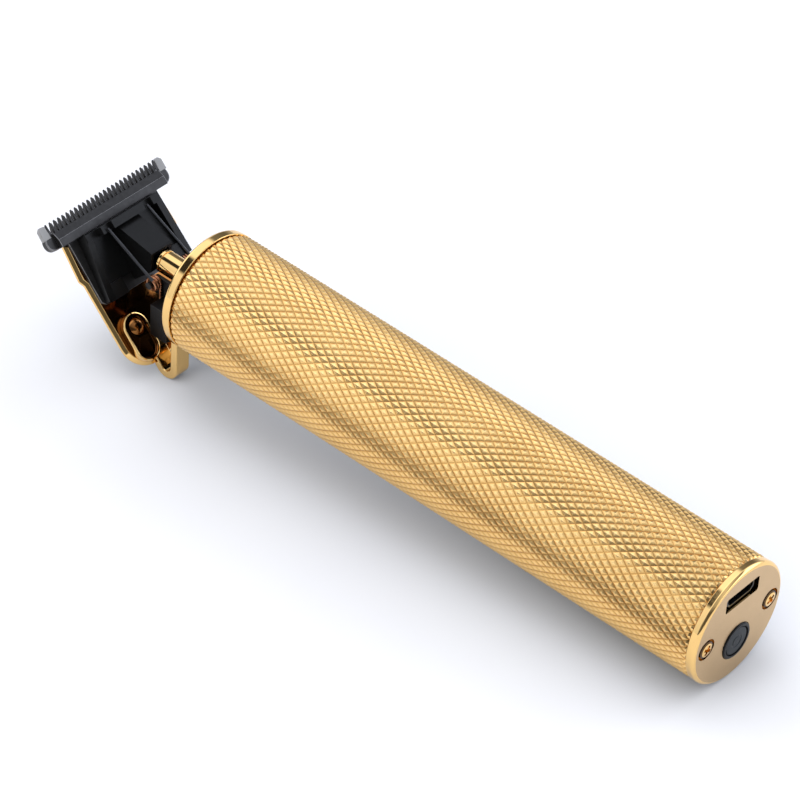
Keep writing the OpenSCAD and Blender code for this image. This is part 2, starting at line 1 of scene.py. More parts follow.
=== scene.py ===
"""Looks of a T-blade hair clipper: knurled gold body, black blade set on a gold plate, two bent hooks.

Pieces are built in millimetres, in body axes (X along the body with 0 in the plane of the front rim,
Y across, Z up) or in blade axes (x towards the tooth tips, y across, z from the skin to the body),
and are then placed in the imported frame.
"""
import json
import math

import bmesh
import bpy
import numpy as np
from mathutils import Matrix, Vector


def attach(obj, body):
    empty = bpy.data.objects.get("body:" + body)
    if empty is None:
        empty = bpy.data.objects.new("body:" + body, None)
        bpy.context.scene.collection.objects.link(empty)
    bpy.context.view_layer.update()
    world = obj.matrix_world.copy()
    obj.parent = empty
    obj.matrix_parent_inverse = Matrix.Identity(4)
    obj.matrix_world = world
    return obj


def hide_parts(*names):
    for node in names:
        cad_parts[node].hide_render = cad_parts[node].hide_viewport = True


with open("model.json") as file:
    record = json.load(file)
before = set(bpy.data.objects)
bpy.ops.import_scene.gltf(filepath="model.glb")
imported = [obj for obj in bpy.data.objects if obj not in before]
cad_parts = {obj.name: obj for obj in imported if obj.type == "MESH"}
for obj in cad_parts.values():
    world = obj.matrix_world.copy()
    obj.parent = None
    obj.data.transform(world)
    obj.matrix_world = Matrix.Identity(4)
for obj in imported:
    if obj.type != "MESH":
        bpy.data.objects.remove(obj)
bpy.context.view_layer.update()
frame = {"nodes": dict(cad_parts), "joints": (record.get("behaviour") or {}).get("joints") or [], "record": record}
scene = bpy.context.scene
MM = 0.001

# ---------------------------------------------------------------- axes of the body and of the blade
DRIVE = next(j for j in frame["joints"] if j["name"] == "drive_spin")
AXIS = Vector(DRIVE["axis"]).normalized()
ACROSS = Vector((0, 1, 0))
RISE = AXIS.cross(ACROSS)
BODY = Matrix.Translation(DRIVE["pos_m"]) @ Matrix((AXIS, ACROSS, RISE)).transposed().to_4x4() \
    @ Matrix.Scale(MM, 4)
BLADE_ANGLE = 46
TIP_REACH = 29
TIP_RISE = 6.8
BLADE = BODY @ Matrix.Translation((TIP_REACH, 0, TIP_RISE)) \
    @ Matrix.Rotation(math.radians(-BLADE_ANGLE), 4, "Y")

# ---------------------------------------------------------------- sizes, in millimetres
BODY_R = 12.5
BODY_LEN = 129.8
REAR = -BODY_LEN
REAR_BAND = 1.8
RIM_EDGE = 0.8
FRONT_BAND = 2.2
SHADOW_GAP = 0.2
SLEEVE_WALL = 0.9
SLEEVE_IN = BODY_R - SLEEVE_WALL
SPIGOT_GAP = 0.05
SPIGOT_R = SLEEVE_IN - SPIGOT_GAP
SPIGOT_WALL = 1.1
PLUG_R = SPIGOT_R - SPIGOT_WALL
SPIGOT_LEN = 3.6
BAND_ROUND = 0.15
RIM_STEPS = 10
RING_STEPS = 192

KNURL_STARTS = 50
KNURL_PERIOD = 2.54
KNURL_STEPS = 6
KNURL_DEPTH = 0.28
KNURL_CROWN = 1.15
SLEEVE_CHAMFER = 0.25

CAP_WALL = 2.2
CUT_PAST = 4
USB_RISE = 7.1
USB_W = 9.2
USB_H = 3.4
USB_CORNER = 0.5

CAP_SCREW_Y = 9
CAP_SCREW_TURN = 30
SINK_R = 2.2
SINK_DEPTH = 1.3
SINK_BORE = 1.05
SCREW_PROUD = 0.3
SCREW_HEAD_R = 1.75
SCREW_BRIGHT_R = 1.45
SCREW_SHANK_R = 0.9
SCREW_END = 10.5
RECESS_HALF = 0.3
RECESS_REACH = 1.0
RECESS_DEPTH = 0.6

BUTTON_DROP = 4
BUTTON_R = 3.75
BUTTON_FIT = 0.1
BUTTON_PROUD = 0.3
BUTTON_FACE_R = 2.95
BUTTON_FLANGE_R = BUTTON_R + 0.7
STEM_R = 1.2
STEM_END = 5.4

HUB_R = 2.4
HUB_END = 11.4
HUB_GROOVE = 0.18
PIN_R = 0.7
PIN_END = 15.4
CRANK = 0.6

PLATE_LOW = -1.9
PLATE_TOP = -0.7
PLATE_CHAMFER = 0.62
BAR_BACK = -5.4
BAR_FRONT = -1.9
BAR_LOW = -1.6
BAR_HALF = 16.5
TOOTH_PITCH = 1.12
SIDE_TEETH = 13
FIXED_TAIL_END = -19.3
FIXED_TAIL_HALF = 12
MOVING_HALF = 14.3
MOVING_LOW = 0.03
MOVING_TOP = 1.25
RIDGE_X = -3.7


# ---------------------------------------------------------------- mesh helpers
def new_object(name, verts, faces):
    mesh = bpy.data.meshes.new(name)
    mesh.from_pydata([tuple(v) for v in verts], [], [tuple(f) for f in faces])
    mesh.validate()
    return linked(name, mesh)


def linked(name, mesh):
    """An object of this mesh, with two material slots that are filled when the piece is placed."""
    while len(mesh.materials) < 2:
        mesh.materials.append(None)
    ob = bpy.data.objects.new(name, mesh)
    scene.collection.objects.link(ob)
    return ob


def tidy_normals(ob):
    bm = bmesh.new()
    bm.from_mesh(ob.data)
    bmesh.ops.recalc_face_normals(bm, faces=bm.faces)
    bm.to_mesh(ob.data)
    bm.free()
    return ob


def arc(cx, cy, r, a0, a1, n):
    """Points on an arc from angle a0 to a1, in degrees, both ends included."""
    return [(cx + r * math.cos(math.radians(a0 + (a1 - a0) * i / n)),
             cy + r * math.sin(math.radians(a0 + (a1 - a0) * i / n))) for i in range(n + 1)]


def rounded(corners, closed=True, steps=5):
    """Outline whose corners (x, y, radius) are filleted."""
    out = []
    n = len(corners)
    for i, (x, y, r) in enumerate(corners):
        if r <= 0 or (not closed and i in (0, n - 1)):
            out.append((x, y))
            continue
        here = Vector((x, y))
        a = (Vector(corners[i - 1][:2]) - here).normalized()
        b = (Vector(corners[(i + 1) % n][:2]) - here).normalized()
        half = a.angle(b) / 2
        cut = r / math.tan(half)
        centre = here + (a + b).normalized() * (r / math.sin(half))
        start = here + a * cut - centre
        end = here + b * cut - centre
        turn = start.angle_signed(end)
        for k in range(steps + 1):
            p = start.copy()
            p.rotate(Matrix.Rotation(-turn * k / steps, 2))
            out.append(tuple(centre + p))
    return out


def lathe(name, profile, steps=128, at=(0, 0)):
    """Solid of revolution around X, from points (x, radius), centred on at = (y, z)."""
    rings, verts, faces = [], [], []
    for x, r in profile:
        if r < 1e-6:
            rings.append([len(verts)] * steps)
            verts.append((x, at[0], at[1]))
        else:
            rings.append(list(range(len(verts), len(verts) + steps)))
            for k in range(steps):
                a = 2 * math.pi * k / steps
                verts.append((x, at[0] + r * math.cos(a), at[1] + r * math.sin(a)))
    closed = profile[0][1] > 1e-6
    for i in range(len(rings) - (0 if closed else 1)):
        p, q = rings[i], rings[(i + 1) % len(rings)]
        for k in range(steps):
            m = (k + 1) % steps
            face = [p[k], p[m], q[m], q[k]]
            face = [v for j, v in enumerate(face) if v not in face[:j]]
            if len(face) > 2:
                faces.append(face)
    return tidy_normals(new_object(name, verts, faces))


def prism(name, outline, z0, z1):
    """Outline in the xy plane, thickened from z0 to z1."""
    n = len(outline)
    verts = [(x, y, z0) for x, y in outline] + [(x, y, z1) for x, y in outline]
    faces = [list(range(n)), list(range(n, 2 * n))]
    faces += [[i, (i + 1) % n, n + (i + 1) % n, n + i] for i in range(n)]
    return tidy_normals(new_object(name, verts, faces))


def side_prism(name, profile, y0, y1):
    """Profile in the xz plane, thickened from y0 to y1."""
    ob = prism(name, profile, y0, y1)
    ob.data.transform(Matrix(((1, 0, 0, 0), (0, 0, 1, 0), (0, 1, 0, 0), (0, 0, 0, 1))))
    return tidy_normals(ob)


def rod_prism(name, outline, x0, x1):
    """Outline in the yz plane, thickened from x0 to x1."""
    ob = prism(name, outline, x0, x1)
    ob.data.transform(Matrix(((0, 0, 1, 0), (1, 0, 0, 0), (0, 1, 0, 0), (0, 0, 0, 1))))
    return tidy_normals(ob)


def block(name, low, high):
    (x0, y0, z0), (x1, y1, z1) = low, high
    return prism(name, [(x0, y0), (x1, y0), (x1, y1), (x0, y1)], z0, z1)


def loft(name, rings):
    """Closed solid through rings of equal length, with flat ends."""
    n = len(rings[0])
    verts = [p for ring in rings for p in ring]
    faces = [list(range(n)), list(range(len(verts) - n, len(verts)))]
    for start in range(0, n * (len(rings) - 1), n):
        for k in range(n):
            m = (k + 1) % n
            faces.append([start + k, start + m, start + n + m, start + n + k])
    return tidy_normals(new_object(name, verts, faces))


def sweep(name, path, r):
    """Round wire along a path."""
    sides = 16
    rings = []
    for i, p in enumerate(path):
        t = (path[min(i + 1, len(path) - 1)] - path[max(i - 1, 0)]).normalized()
        n = t.cross(Vector((0, 1, 0))).normalized()
        b = n.cross(t)
        rings.append([p + r * (math.cos(2 * math.pi * k / sides) * n + math.sin(2 * math.pi * k / sides) * b)
                      for k in range(sides)])
    return loft(name, rings)


def applied(ob, kind, **settings):
    """Adds a modifier and bakes it into the mesh."""
    m = ob.modifiers.new(kind, kind)
    for key, value in settings.items():
        setattr(m, key, value)
    dg = bpy.context.evaluated_depsgraph_get()
    mesh = bpy.data.meshes.new_from_object(ob.evaluated_get(dg))
    ob.modifiers.clear()
    old = ob.data
    ob.data = mesh
    bpy.data.meshes.remove(old)
    return ob


def boolean(ob, others, operation):
    for other in others:
        applied(ob, "BOOLEAN", operation=operation, object=other, solver="EXACT")
        bpy.data.objects.remove(other)
    return ob


def joined(name, parts):
    """One object from several separate solids."""
    bm = bmesh.new()
    for part in parts:
        bm.from_mesh(part.data)
        bpy.data.objects.remove(part)
    mesh = bpy.data.meshes.new(name)
    bm.to_mesh(mesh)
    bm.free()
    return linked(name, mesh)


def mirrored(ob, name):
    """A copy on the other side of the middle plane."""
    mesh = ob.data.copy()
    mesh.transform(Matrix.Diagonal((1, -1, 1, 1)))
    mesh.flip_normals()
    return linked(name, mesh)


def merged(ob, angle=0.5):
    """Welds split corners and joins the triangles of each flat face."""
    bm = bmesh.new()
    bm.from_mesh(ob.data)
    bmesh.ops.remove_doubles(bm, verts=bm.verts, dist=1e-4)
    bmesh.ops.dissolve_limit(bm, angle_limit=math.radians(angle), verts=bm.verts, edges=bm.edges)
    bm.to_mesh(ob.data)
    bm.free()
    return ob


def softened(ob, width, segments=2, angle=32, edge_slot=-1):
    """Rounds the sharp edges and shades the rest flat; edge_slot is the material of the rounds."""
    applied(ob, "BEVEL", width=width, segments=segments, limit_method="ANGLE",
            angle_limit=math.radians(angle), harden_normals=False, material=edge_slot,
            use_clamp_overlap=True)
    return shaded(ob)


def shaded(ob, angle=35):
    ob.data.shade_smooth()
    ob.data.set_sharp_from_angle(angle=math.radians(angle))
    applied(ob, "WEIGHTED_NORMAL", keep_sharp=True, weight=60)
    return ob


def from_cad(node, matrix):
    """A copy of a CAD node's mesh in millimetres, in the given axes, with its flat faces whole."""
    mesh = frame["nodes"][node].data.copy()
    mesh.transform(matrix.inverted())
    mesh.materials.clear()
    return merged(linked(node + "_shape", mesh))


def place(ob, name, matrix, body, materials, *nodes):
    """Names a finished piece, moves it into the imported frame, gives it its materials and its body."""
    ob.name = name
    ob.data.name = name
    ob.data.transform(matrix)
    slot_of_face = [face.material_index for face in ob.data.polygons]
    ob.data.materials.clear()
    for m in materials:
        ob.data.materials.append(m)
    ob.data.polygons.foreach_set("material_index", slot_of_face)
    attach(ob, body)
    if nodes:
        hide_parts(*nodes)
    return ob


SLOT_OF = {s["node"]: s["material_slot"] for s in frame["record"]["subparts"]}


# ---------------------------------------------------------------- materials
GRAIN_DEPTH = 0.05
GLOSS_SPREAD = 0.35


class Shader:
    """A Principled material with noise helpers. Positions are the piece's own, in millimetres."""

    def __init__(self, name, **sockets):
        self.material = bpy.data.materials.new(name)
        self.material.use_nodes = True
        self.tree = self.material.node_tree
        self.shader = self.tree.nodes["Principled BSDF"]
        for key, value in sockets.items():
            self.shader.inputs[key.replace("_", " ")].default_value = value
        coords = self.node("ShaderNodeTexCoord")
        self.place = self.node("ShaderNodeMapping")
        self.place.inputs["Scale"].default_value = (1 / MM,) * 3
        self.link(coords.outputs["Object"], self.place.inputs["Vector"])

    def node(self, kind):
        return self.tree.nodes.new(kind)

    def link(self, a, b):
        self.tree.links.new(a, b)

    def stretched(self, scale):
        m = self.node("ShaderNodeMapping")
        m.inputs["Scale"].default_value = scale
        self.link(self.place.outputs["Vector"], m.inputs["Vector"])
        return m.outputs["Vector"]

    def noise(self, scale, detail=3, stretch=None):
        n = self.node("ShaderNodeTexNoise")
        n.inputs["Scale"].default_value = scale
        n.inputs["Detail"].default_value = detail
        self.link(self.stretched(stretch) if stretch else self.place.outputs["Vector"], n.inputs["Vector"])
        return n.outputs["Fac"]

    def ranged(self, value, low, high, source=(0.3, 0.7)):
        n = self.node("ShaderNodeMapRange")
        n.inputs["From Min"].default_value, n.inputs["From Max"].default_value = source
        n.inputs["To Min"].default_value, n.inputs["To Max"].default_value = low, high
        self.link(value, n.inputs["Value"])
        return n.outputs["Result"]

    def ramp(self, value, stops):
        n = self.node("ShaderNodeValToRGB")
        ramp = n.color_ramp
        while len(ramp.elements) < len(stops):
            ramp.elements.new(0.5)
        for element, (position, colour) in zip(ramp.elements, stops):
            element.position = position
            element.color = (*colour, 1)
        self.link(value, n.inputs["Fac"])
        return n.outputs["Color"]

    def attribute(self, name):
        n = self.node("ShaderNodeAttribute")
        n.attribute_name = name
        return n.outputs["Fac"]

    def maths(self, operation, a, b):
        n = self.node("ShaderNodeMath")
        n.operation = operation
        for socket, value in zip(n.inputs, (a, b)):
            if isinstance(value, (int, float)):
                socket.default_value = value
            else:
                self.link(value, socket)
        return n.outputs["Value"]

    def colour(self, output):
        self.link(output, self.shader.inputs["Base Color"])

    def roughness(self, output):
        self.link(output, self.shader.inputs["Roughness"])

    def bump(self, height, strength):
        n = self.node("ShaderNodeBump")
        n.inputs["Strength"].default_value = strength
        n.inputs["Distance"].default_value = GRAIN_DEPTH * MM
        self.link(height, n.inputs["Height"])
        self.link(n.outputs["Normal"], self.shader.inputs["Normal"])


def scaled(colour, by):
    return tuple(c * by for c in colour)


GOLD = (0.93, 0.60, 0.225)
PALE_GOLD = (0.60, 0.415, 0.222)
# paler gold for the knurl crowns: a painted highlight
CROWN_HIGHLIGHT_GOLD = (0.93, 0.645, 0.28)


def metal(name, colour, rough, vary=0.10, grain=0.02):
    """Bare or plated metal: faint colour drift, uneven gloss and a fine surface grain."""
    s = Shader(name, Metallic=1.0)
    s.colour(s.ramp(s.noise(0.16, 4), [(0.3, scaled(colour, 1 - vary)), (0.7, colour)]))
    s.roughness(s.ranged(s.noise(1.7, 4), rough * (1 - GLOSS_SPREAD), rough * (1 + GLOSS_SPREAD)))
    s.bump(s.noise(9, 5), grain)
    return s.material


def plastic(name, colour, rough, specular=0.5, grain=0.08, vary=0.15):
    """Moulded plastic or rubber: fine pebble grain and uneven gloss."""
    s = Shader(name, Specular_IOR_Level=specular)
    s.colour(s.ramp(s.noise(0.5, 4), [(0.3, scaled(colour, 1 - vary)), (0.7, scaled(colour, 1 + vary))]))
    s.roughness(s.ranged(s.noise(2.3, 4), rough * 0.85, rough * 1.15))
    s.bump(s.noise(14, 3), grain)
    return s.material


def knurled_metal():
    """Plated diamond knurl: crowns painted paler as painted highlight, grooves painted darker and browner towards
    their bottoms as painted shade, and rougher there.
    """
    s = Shader("knurled_gold", Metallic=1.0)
    depth = s.attribute("depth")
    drift = s.noise(0.12, 3)
    # the colour follows the groove depth: painted shade in the grooves and painted highlight on the crowns, with a
    # little random drift
    groove_shade = s.maths("ADD", depth, s.ranged(drift, -0.06, 0.06))
    s.colour(s.ramp(groove_shade, [(0.0, CROWN_HIGHLIGHT_GOLD), (0.45, scaled(GOLD, 0.96)), (0.8, (0.74, 0.44, 0.15)),
                           (1.0, (0.50, 0.26, 0.07))]))
    s.roughness(s.ranged(depth, 0.20, 0.27, (0.0, 1.0)))
    s.bump(s.noise(11, 4), 0.04)
    return s.material


def brushed_face():
    """Satin plated face: fine even grain with a soft sheen."""
    s = Shader("satin_gold", Metallic=1.0)
    s.colour(s.ramp(s.noise(0.25, 4), [(0.3, scaled(PALE_GOLD, 0.95)), (0.7, PALE_GOLD)]))
    s.roughness(s.ranged(s.noise(6, 4), 0.30, 0.40))
    s.bump(s.noise(22, 4), 0.10)
    return s.material


def coated_blade(name, colour, rough):
    """Black coated steel, ground lengthwise under the coating."""
    s = Shader(name, Metallic=0.75, Specular_IOR_Level=0.5)
    s.colour(s.ramp(s.noise(0.8, 4), [(0.3, scaled(colour, 0.85)), (0.7, scaled(colour, 1.2))]))
    s.roughness(s.ranged(s.noise(3, 4, (4, 0.3, 4)), rough * 0.8, rough * 1.2))
    s.bump(s.noise(10, 4, (5, 0.25, 5)), 0.05)
    return s.material


def wound_copper():
    """Enamelled copper, with the turns as fine ridges."""
    s = Shader("copper", Metallic=1.0)
    s.colour(s.ramp(s.noise(0.9, 4), [(0.3, (0.42, 0.17, 0.085)), (0.7, (0.62, 0.29, 0.15))]))
    s.roughness(s.ranged(s.noise(2.5, 4), 0.22, 0.36))
    s.bump(s.noise(9, 4), 0.06)
    return s.material


def circuit_green():
    """Lacquered board with a faint pattern of tracks."""
    s = Shader("board_green", Coat_Weight=0.4)
    s.colour(s.ramp(s.noise(1.5, 1, (1, 3, 0.6)), [(0.45, (0.01, 0.10, 0.035)), (0.55, (0.03, 0.20, 0.08))]))
    s.roughness(s.ranged(s.noise(3), 0.3, 0.45))
    s.bump(s.noise(4, 2), 0.1)
    return s.material


POLISHED = metal("polished_gold", GOLD, 0.085, vary=0.05, grain=0.012)
KNURLED = knurled_metal()
SATIN = brushed_face()
# very dark gold for the outer rims of the rear cap screw heads: painted shade where they sit in their sinks
SCREW_RIM_SHADE_GOLD = metal("screw_rim_painted_shade", (0.12, 0.07, 0.035), 0.30, grain=0.03)
# dark brown gold as painted shade, for the hollows of the hook pads, their domed screws and the plate's upper face
PAINTED_SHADE_GOLD = metal("gold_in_painted_shade", (0.30, 0.125, 0.035), 0.12, grain=0.012)
BLACK = plastic("black_plastic", (0.004, 0.004, 0.004), 0.38, specular=0.22)
# slightly lighter black for the rounded edges of moulded parts: a painted highlight along the edges
BLACK_EDGE_HIGHLIGHT = plastic("black_plastic_edge", (0.012, 0.012, 0.012), 0.32, specular=0.4)
BLADE_COAT = coated_blade("blade_black", (0.040, 0.039, 0.039), 0.36)
# lighter grey for the blades' rounded edges and ridge: partly coating worn off the edges, partly a painted
# highlight
BLADE_EDGE_HIGHLIGHT = coated_blade("blade_black_edge", (0.24, 0.235, 0.235), 0.32)
STEEL = metal("steel", (0.60, 0.60, 0.61), 0.26)
# dark steel, also used on the crank pin as painted shade
DARK_STEEL_AND_PIN_SHADE = metal("dark_steel_and_pin_shade", (0.07, 0.07, 0.072), 0.34)
END_GREY = plastic("end_grey", (0.26, 0.26, 0.26), 0.40, grain=0.03, vary=0.06)
COPPER = wound_copper()
RUBBER = plastic("rubber", (0.018, 0.018, 0.018), 0.75, specular=0.3, grain=0.15)
BUTTON_RIM = plastic("button_rim", (0.005, 0.005, 0.005), 0.22, specular=0.15)
BUTTON_FACE = plastic("button_face", (0.009, 0.013, 0.016), 0.34, specular=0.2)

SLOT_MATERIAL = {
    "polished_gold": POLISHED,
    "knurled_gold": KNURLED,
    "satin_gold": SATIN,
    "button_black": BUTTON_RIM,
    "black_plastic": BLACK,
    "blade_black": BLADE_COAT,
    "steel": STEEL,
    "copper": COPPER,
    "rubber": RUBBER,
    "nylon": plastic("nylon", (0.72, 0.71, 0.66), 0.45),
    "board_green": circuit_green(),
    "cell_wrap": plastic("cell_wrap", (0.02, 0.10, 0.36), 0.30),
    "wire_red": plastic("wire_red", (0.50, 0.02, 0.015), 0.5),
    "magnet": plastic("magnet", (0.03, 0.03, 0.032), 0.6),
    "carbon": plastic("carbon", (0.02, 0.02, 0.02), 0.5),
    "sintered_bronze": metal("sintered_bronze", (0.55, 0.38, 0.18), 0.45, grain=0.2),
}
NODE_MATERIAL = {"usb_shell": DARK_STEEL_AND_PIN_SHADE, "spring_studs": DARK_STEEL_AND_PIN_SHADE}
for node, ob in frame["nodes"].items():
    ob.data.materials.clear()
    ob.data.materials.append(NODE_MATERIAL.get(node, SLOT_MATERIAL[SLOT_OF[node]]))


# ---------------------------------------------------------------- body
def knurled_sleeve():
    """Tube with a true diamond knurl: two crossing families of grooves with rounded crowns between."""
    x0, x1 = REAR + REAR_BAND + SHADOW_GAP, -FRONT_BAND - SHADOW_GAP
    around = KNURL_STARTS * KNURL_STEPS
    along = round((x1 - x0) / KNURL_PERIOD * KNURL_STEPS)
    i, j = np.meshgrid(np.arange(around), np.arange(along + 1), indexing="ij")
    to_groove = [np.abs((c + KNURL_STEPS / 2) % KNURL_STEPS - KNURL_STEPS / 2) for c in (i + j, i - j)]
    depth = (1 - np.minimum(*to_groove) * 2 / KNURL_STEPS) ** KNURL_CROWN
    theta = 2 * np.pi * i / around
    x = x0 + (x1 - x0) * j / along
    end = np.minimum(x - x0, x1 - x)
    r = BODY_R - KNURL_DEPTH * depth - np.maximum(0, SLEEVE_CHAMFER - end)
    outer = np.stack([x, r * np.cos(theta), r * np.sin(theta)], -1).reshape(-1, 3)
    ring = np.arange(around)
    circle = np.stack([np.cos(2 * np.pi * ring / around), np.sin(2 * np.pi * ring / around)], -1) * SLEEVE_IN
    inner = [np.column_stack([np.full(around, x_end), circle]) for x_end in (x0, x1)]
    verts = np.concatenate([outer, *inner])
    row = along + 1
    a = (i[:, :-1] * row + j[:, :-1]).ravel()
    b = (((i[:, :-1] + 1) % around) * row + j[:, :-1]).ravel()
    c, d = b + 1, a + 1
    # each square is split along the groove family that passes nearest to it
    mid = np.stack([i[:, :-1].ravel() + 0.5, j[:, :-1].ravel() + 0.5])
    near_u, near_v = [np.abs((c_ + KNURL_STEPS / 2) % KNURL_STEPS - KNURL_STEPS / 2)
                      for c_ in (mid[0] + mid[1], mid[0] - mid[1])]
    falling = (near_u < near_v)[:, None]
    first = np.where(falling, np.stack([a, b, d], -1), np.stack([a, b, c], -1))
    second = np.where(falling, np.stack([b, c, d], -1), np.stack([a, c, d], -1))
    nxt = (ring + 1) % around
    base = len(outer)
    walls = []
    for k, column in ((0, 0), (1, along)):
        lip, hole = ring * row + column, base + k * around + ring
        lip_next, hole_next = nxt * row + column, base + k * around + nxt
        walls += [np.stack([lip, lip_next, hole_next], -1), np.stack([lip, hole_next, hole], -1)]
    bore = [np.stack([base + ring, base + nxt, base + around + nxt], -1),
            np.stack([base + ring, base + around + nxt, base + around + ring], -1)]
    faces = np.concatenate([first, second, *walls, *bore])
    ob = tidy_normals(new_object("knurled_sleeve_shape", verts.tolist(), faces.tolist()))
    mesh = ob.data
    level = np.concatenate([depth.ravel(), np.ones(2 * around)])
    mesh.attributes.new("depth", "FLOAT", "POINT").data.foreach_set("value", level.astype(np.float32))
    mesh.shade_flat()
    place(ob, "knurled_sleeve_look", BODY, "body", [KNURLED], "knurled_sleeve")


def rim_round(x, back):
    """Quarter-round edge of an end rim, from the flat face at x to the body's diameter."""
    turn = [90 * i / RIM_STEPS for i in range(RIM_STEPS + 1)]
    return [(x + back * RIM_EDGE * (1 - math.cos(math.radians(a))),
             BODY_R - RIM_EDGE * (1 - math.sin(math.radians(a))), 0) for a in turn]


def front_ring():
    profile = rounded([(-FRONT_BAND - SPIGOT_LEN, PLUG_R, 0), (0, PLUG_R, 0), *rim_round(0, -1),
                       (-FRONT_BAND, BODY_R, BAND_ROUND), (-FRONT_BAND, SPIGOT_R, 0),
                       (-FRONT_BAND - SPIGOT_LEN, SPIGOT_R, 0)])
    ring = shaded(lathe("ring", profile, RING_STEPS))
    place(ring, "front_ring_look", BODY, "body", [POLISHED], "front_ring")


def rear_cap():
    profile = rounded([(REAR, 0, 0), *rim_round(REAR, 1), (REAR + REAR_BAND, BODY_R, BAND_ROUND),
                       (REAR + REAR_BAND, SPIGOT_R, 0), (REAR + REAR_BAND + SPIGOT_LEN, SPIGOT_R, 0),
                       (REAR + REAR_BAND + SPIGOT_LEN, PLUG_R, 0), (REAR + CAP_WALL, PLUG_R, 0),
                       (REAR + CAP_WALL, 0, 0)], closed=False)
    cap = lathe("cap", profile, RING_STEPS)
    before, floor_x, past = REAR - 1, REAR + SINK_DEPTH, REAR + CUT_PAST
    sink = [(before, 0), (before, SINK_R), (floor_x, SINK_R), (floor_x, SINK_BORE), (past, SINK_BORE),
            (past, 0)]
    cutters = [lathe("sink", sink, 48, (side * CAP_SCREW_Y, 0)) for side in (-1, 1)]
    hole_r = BUTTON_R + BUTTON_FIT
    hole = [(before, 0), (before, hole_r), (past, hole_r), (past, 0)]
    cutters.append(lathe("hole", hole, 72, (0, -BUTTON_DROP)))
    w, h = USB_W / 2, USB_H / 2
    corners = [(-w, -h, USB_CORNER), (w, -h, USB_CORNER), (w, h, USB_CORNER), (-w, h, USB_CORNER)]
    cutters.append(rod_prism("slot", [(y, USB_RISE + z) for y, z in rounded(corners)], before, past))
    boolean(cap, [joined("cuts", cutters)], "DIFFERENCE")
    softened(merged(cap, 0.05), 0.1, angle=50)
    for face in cap.data.polygons:
        flat = abs(face.normal.x) > 0.99 and face.center.x < REAR + 1.5
        face.material_index = 1 if flat else 0
    place(cap, "rear_cap_look", BODY, "body", [POLISHED, SATIN], "rear_cap")


def rear_cap_screws():
    """Domed screws with a cross recess, a gap away from the walls of their sinks."""
    screws = []
    top, under = REAR - SCREW_PROUD, REAR + SINK_DEPTH
    dome = [(top, 0), (top + 0.03, 0.9), (top + 0.12, 1.4), (top + 0.32, 1.72)]
    shank = [(under, SCREW_SHANK_R), (REAR + SCREW_END, SCREW_SHANK_R), (REAR + SCREW_END, 0)]
    for side in (-1, 1):
        screw = lathe("screw", [*dome, (under, SCREW_HEAD_R), *shank], 48)
        # the outer part of each head gets the very dark gold as painted shade; the middle stays polished
        for face in screw.data.polygons:
            face.material_index = 1 if math.hypot(face.center.y, face.center.z) > SCREW_BRIGHT_R else 0
        cross = [block("slot", (top - 1, -a, -b), (top + RECESS_DEPTH, a, b))
                 for a, b in ((RECESS_HALF, RECESS_REACH), (RECESS_REACH, RECESS_HALF))]
        boolean(screw, cross, "DIFFERENCE")
        softened(merged(screw, 0.05), 0.05, angle=50)
        screw.data.transform(Matrix.Translation((0, side * CAP_SCREW_Y, 0))
                             @ Matrix.Rotation(math.radians(CAP_SCREW_TURN * side), 4, "X"))
        screws.append(screw)
    place(joined("screws", screws), "rear_cap_screws_look", BODY, "body", [POLISHED, SCREW_RIM_SHADE_GOLD],
          "rear_cap_screws")


def power_button():
    """Push button: glossy outer ring, a fine groove, and a satin face with a plain ring pressed in it."""
    x = REAR
    profile = rounded([(x - 0.24, 0, 0), (x - 0.235, 1.0, 0), (x - 0.16, 1.1, 0), (x - 0.16, 1.3, 0),
                       (x - 0.23, 1.4, 0), (x - 0.17, 2.85, 0.1), (x + 0.1, BUTTON_FACE_R, 0),
                       (x + 0.1, 3.05, 0), (x - BUTTON_PROUD, 3.12, 0.1), (x - BUTTON_PROUD, BUTTON_R, 0.3),
                       (x + CAP_WALL + 0.1, BUTTON_R, 0), (x + CAP_WALL + 0.1, BUTTON_FLANGE_R, 0),
                       (x + CAP_WALL + 0.8, BUTTON_FLANGE_R, 0), (x + CAP_WALL + 0.8, STEM_R, 0),
                       (x + STEM_END, STEM_R, 0), (x + STEM_END, 0, 0)], closed=False)
    button = lathe("button", profile, 96, (0, -BUTTON_DROP))
    for face in button.data.polygons:
        inside = math.hypot(face.center.y, face.center.z + BUTTON_DROP) < BUTTON_FACE_R
        face.material_index = 1 if inside and face.center.x < REAR + 0.05 else 0
    place(shaded(button), "power_button_look", BODY, "button", [BUTTON_RIM, BUTTON_FACE], "power_button")


# ---------------------------------------------------------------- drive and springs
def drive_hub():
    floor_r = HUB_R - HUB_GROOVE
    profile = rounded([(-1, 0, 0), (-1, HUB_R, 0), (HUB_END - 1.1, HUB_R, 0.05), (HUB_END - 1.05, floor_r, 0),
                       (HUB_END - 0.85, floor_r, 0), (HUB_END - 0.8, HUB_R, 0.05), (HUB_END, HUB_R, 0.35),
                       (HUB_END, 0, 0)], closed=False)
    pin_root = HUB_END - 0.3
    pin = rounded([(pin_root, 0, 0), (pin_root, PIN_R, 0), (PIN_END, PIN_R, 0.25), (PIN_END, 0, 0)],
                  closed=False)
    hub = boolean(lathe("hub", profile, 96), [lathe("pin", pin, 48, (0, CRANK))], "UNION")
    # the crank pin gets the dark steel as painted shade, where it lies in shadow inside the carriage
    for face in hub.data.polygons:
        face.material_index = 1 if face.center.x > HUB_END + 0.1 else 0
    place(shaded(hub), "drive_hub_look", BODY, "rotor", [POLISHED, DARK_STEEL_AND_PIN_SHADE], "drive_hub")


COIL_X = 9.6
COIL_Z = -2
COIL_R = 1.3
COIL_Y0 = 3.9
COIL_TURNS = 2
ARM_Y = 5.3
ARM_ANGLE = 25.8
ARM_LEN = 13.6
SHORT_ARM = 4.2
WIRE_R = 0.3
COIL_STEPS = 110


